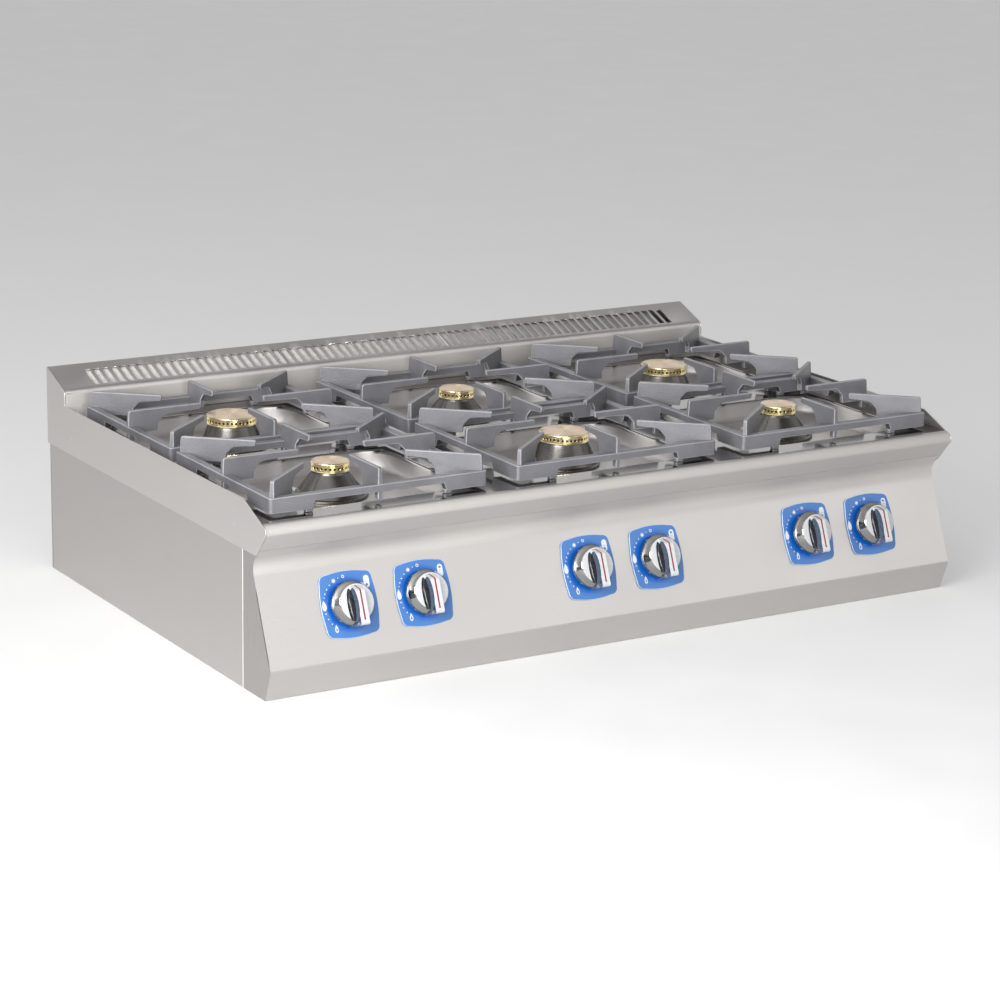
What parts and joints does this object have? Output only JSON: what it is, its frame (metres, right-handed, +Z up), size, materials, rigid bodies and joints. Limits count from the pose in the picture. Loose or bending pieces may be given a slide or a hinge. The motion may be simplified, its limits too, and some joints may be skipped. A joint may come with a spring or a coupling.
{
  "type": "commercial gas range",
  "caption": "Modular stainless gas range top with open burners in pressed wells, lift-off cast grates, push-and-turn knobs on a sloping fascia and a low louvred flue.",
  "frame": {"origin": "under the middle of the range, on the surface it stands on", "axes": "+X to the cook's right, +Y to the back, +Z up; the knobs face -Y"},
  "size_m": [1.2, 0.7912, 0.3266],
  "materials": {
    "body_steel": "satin brushed stainless steel",
    "hob_steel": "polished pressed stainless steel",
    "inner_steel": "plain sheet steel",
    "gas_pipe": "drawn steel tube",
    "burner_steel": "polished drawn steel cone",
    "cap_brass": "turned brass, satin top and bright ported rim",
    "grate_iron": "grey enamelled cast iron, slightly pebbled",
    "plate_blue": "glossy blue with white control marks",
    "knob_chrome": "chromed ring with a white enamelled face",
    "valve_steel": "turned steel",
    "valve_brass": "hot-pressed brass"
  },
  "bodies": {
    "body": {"bottom_panel": "inner_steel", "left_side_panel": "body_steel", "right_side_panel": "body_steel", "rear_panel": "inner_steel", "control_fascia": "body_steel", "left_side_apron": "body_steel", "right_side_apron": "body_steel", "hob_top": "hob_steel", "flue_cover": "body_steel", "cross_rail": "inner_steel", "gas_manifold": "gas_pipe", "gas_inlet": "gas_pipe", "burner_body_front_left": "burner_steel", "knob_plate_front_left": "plate_blue", "valve_body_front_left": "valve_brass", "supply_pipe_front_left": "gas_pipe", "burner_body_rear_left": "burner_steel", "knob_plate_rear_left": "plate_blue", "valve_body_rear_left": "valve_brass", "supply_pipe_rear_left": "gas_pipe", "burner_body_front_middle": "burner_steel", "knob_plate_front_middle": "plate_blue", "valve_body_front_middle": "valve_brass", "supply_pipe_front_middle": "gas_pipe", "burner_body_rear_middle": "burner_steel", "knob_plate_rear_middle": "plate_blue", "valve_body_rear_middle": "valve_brass", "supply_pipe_rear_middle": "gas_pipe", "burner_body_front_right": "burner_steel", "knob_plate_front_right": "plate_blue", "valve_body_front_right": "valve_brass", "supply_pipe_front_right": "gas_pipe", "burner_body_rear_right": "burner_steel", "knob_plate_rear_right": "plate_blue", "valve_body_rear_right": "valve_brass", "supply_pipe_rear_right": "gas_pipe"},
    "grate_front_left": {"grate_front_left": "grate_iron"},
    "cap_front_left": {"burner_cap_front_left": "cap_brass"},
    "stem_front_left": {"valve_stem_front_left": "valve_steel"},
    "knob_front_left": {"knob_front_left": "knob_chrome"},
    "grate_rear_left": {"grate_rear_left": "grate_iron"},
    "cap_rear_left": {"burner_cap_rear_left": "cap_brass"},
    "stem_rear_left": {"valve_stem_rear_left": "valve_steel"},
    "knob_rear_left": {"knob_rear_left": "knob_chrome"},
    "grate_front_middle": {"grate_front_middle": "grate_iron"},
    "cap_front_middle": {"burner_cap_front_middle": "cap_brass"},
    "stem_front_middle": {"valve_stem_front_middle": "valve_steel"},
    "knob_front_middle": {"knob_front_middle": "knob_chrome"},
    "grate_rear_middle": {"grate_rear_middle": "grate_iron"},
    "cap_rear_middle": {"burner_cap_rear_middle": "cap_brass"},
    "stem_rear_middle": {"valve_stem_rear_middle": "valve_steel"},
    "knob_rear_middle": {"knob_rear_middle": "knob_chrome"},
    "grate_front_right": {"grate_front_right": "grate_iron"},
    "cap_front_right": {"burner_cap_front_right": "cap_brass"},
    "stem_front_right": {"valve_stem_front_right": "valve_steel"},
    "knob_front_right": {"knob_front_right": "knob_chrome"},
    "grate_rear_right": {"grate_rear_right": "grate_iron"},
    "cap_rear_right": {"burner_cap_rear_right": "cap_brass"},
    "stem_rear_right": {"valve_stem_rear_right": "valve_steel"},
    "knob_rear_right": {"knob_rear_right": "knob_chrome"}
  },
  "joints": [
    {"name": "grate_front_left_lift", "type": "slide", "parent": "body", "child": "grate_front_left", "axis": [0, 0, 1], "range_m": [0, 0.15]},
    {"name": "cap_front_left_lift", "type": "slide", "parent": "body", "child": "cap_front_left", "axis": [0, 0, 1], "range_m": [0, 0.06]},
    {"name": "knob_front_left_push", "type": "slide", "parent": "body", "child": "stem_front_left", "axis": [0, 0.9258, -0.3781], "range_m": [0, 0.004], "stiffness_N_per_m": 700, "springref_m": -0.006},
    {"name": "knob_front_left_turn", "type": "hinge", "parent": "stem_front_left", "child": "knob_front_left", "pos_m": [-0.46, -0.34497, 0.11814], "axis": [0, -0.9258, 0.3781], "range_deg": [0, 150]},
    {"name": "grate_rear_left_lift", "type": "slide", "parent": "body", "child": "grate_rear_left", "axis": [0, 0, 1], "range_m": [0, 0.15]},
    {"name": "cap_rear_left_lift", "type": "slide", "parent": "body", "child": "cap_rear_left", "axis": [0, 0, 1], "range_m": [0, 0.06]},
    {"name": "knob_rear_left_push", "type": "slide", "parent": "body", "child": "stem_rear_left", "axis": [0, 0.9258, -0.3781], "range_m": [0, 0.004], "stiffness_N_per_m": 700, "springref_m": -0.006},
    {"name": "knob_rear_left_turn", "type": "hinge", "parent": "stem_rear_left", "child": "knob_rear_left", "pos_m": [-0.34, -0.34497, 0.11814], "axis": [0, -0.9258, 0.3781], "range_deg": [0, 150]},
    {"name": "grate_front_middle_lift", "type": "slide", "parent": "body", "child": "grate_front_middle", "axis": [0, 0, 1], "range_m": [0, 0.15]},
    {"name": "cap_front_middle_lift", "type": "slide", "parent": "body", "child": "cap_front_middle", "axis": [0, 0, 1], "range_m": [0, 0.06]},
    {"name": "knob_front_middle_push", "type": "slide", "parent": "body", "child": "stem_front_middle", "axis": [0, 0.9258, -0.3781], "range_m": [0, 0.004], "stiffness_N_per_m": 700, "springref_m": -0.006},
    {"name": "knob_front_middle_turn", "type": "hinge", "parent": "stem_front_middle", "child": "knob_front_middle", "pos_m": [-0.06, -0.34497, 0.11814], "axis": [0, -0.9258, 0.3781], "range_deg": [0, 150]},
    {"name": "grate_rear_middle_lift", "type": "slide", "parent": "body", "child": "grate_rear_middle", "axis": [0, 0, 1], "range_m": [0, 0.15]},
    {"name": "cap_rear_middle_lift", "type": "slide", "parent": "body", "child": "cap_rear_middle", "axis": [0, 0, 1], "range_m": [0, 0.06]},
    {"name": "knob_rear_middle_push", "type": "slide", "parent": "body", "child": "stem_rear_middle", "axis": [0, 0.9258, -0.3781], "range_m": [0, 0.004], "stiffness_N_per_m": 700, "springref_m": -0.006},
    {"name": "knob_rear_middle_turn", "type": "hinge", "parent": "stem_rear_middle", "child": "knob_rear_middle", "pos_m": [0.06, -0.34497, 0.11814], "axis": [0, -0.9258, 0.3781], "range_deg": [0, 150]},
    {"name": "grate_front_right_lift", "type": "slide", "parent": "body", "child": "grate_front_right", "axis": [0, 0, 1], "range_m": [0, 0.15]},
    {"name": "cap_front_right_lift", "type": "slide", "parent": "body", "child": "cap_front_right", "axis": [0, 0, 1], "range_m": [0, 0.06]},
    {"name": "knob_front_right_push", "type": "slide", "parent": "body", "child": "stem_front_right", "axis": [0, 0.9258, -0.3781], "range_m": [0, 0.004], "stiffness_N_per_m": 700, "springref_m": -0.006},
    {"name": "knob_front_right_turn", "type": "hinge", "parent": "stem_front_right", "child": "knob_front_right", "pos_m": [0.34, -0.34497, 0.11814], "axis": [0, -0.9258, 0.3781], "range_deg": [0, 150]},
    {"name": "grate_rear_right_lift", "type": "slide", "parent": "body", "child": "grate_rear_right", "axis": [0, 0, 1], "range_m": [0, 0.15]},
    {"name": "cap_rear_right_lift", "type": "slide", "parent": "body", "child": "cap_rear_right", "axis": [0, 0, 1], "range_m": [0, 0.06]},
    {"name": "knob_rear_right_push", "type": "slide", "parent": "body", "child": "stem_rear_right", "axis": [0, 0.9258, -0.3781], "range_m": [0, 0.004], "stiffness_N_per_m": 700, "springref_m": -0.006},
    {"name": "knob_rear_right_turn", "type": "hinge", "parent": "stem_rear_right", "child": "knob_rear_right", "pos_m": [0.46, -0.34497, 0.11814], "axis": [0, -0.9258, 0.3781], "range_deg": [0, 150]}
  ]
}
